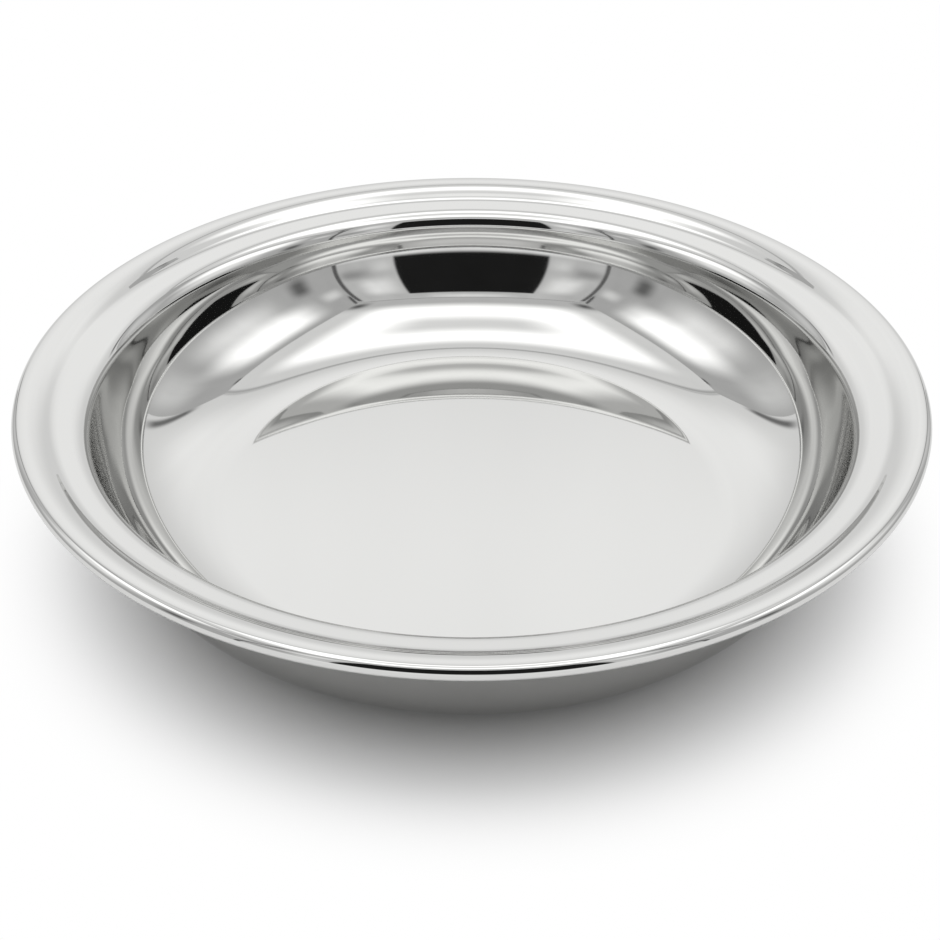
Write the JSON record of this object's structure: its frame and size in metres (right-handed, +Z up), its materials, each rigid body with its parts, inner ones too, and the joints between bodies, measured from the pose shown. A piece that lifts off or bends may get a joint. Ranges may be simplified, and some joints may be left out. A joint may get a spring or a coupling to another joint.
{
  "type": "thali plate",
  "caption": "Deep round double-walled stainless steel plate with a flat floor, steep side, stepped rim and curled bead.",
  "frame": {"origin": "middle of the flat underside, on the surface that the plate rests on", "axes": "+Z up along the plate's axis of revolution; +X and +Y lie in the rest plane, with no preferred direction"},
  "size_m": [0.3, 0.3, 0.0578],
  "materials": {
    "polished_steel": "mirror polish",
    "outer_steel": "mirror polish, a little duller under the rim"
  },
  "bodies": {
    "root": {"inner_shell": "polished_steel", "outer_shell": "outer_steel"}
  },
  "joints": []
}
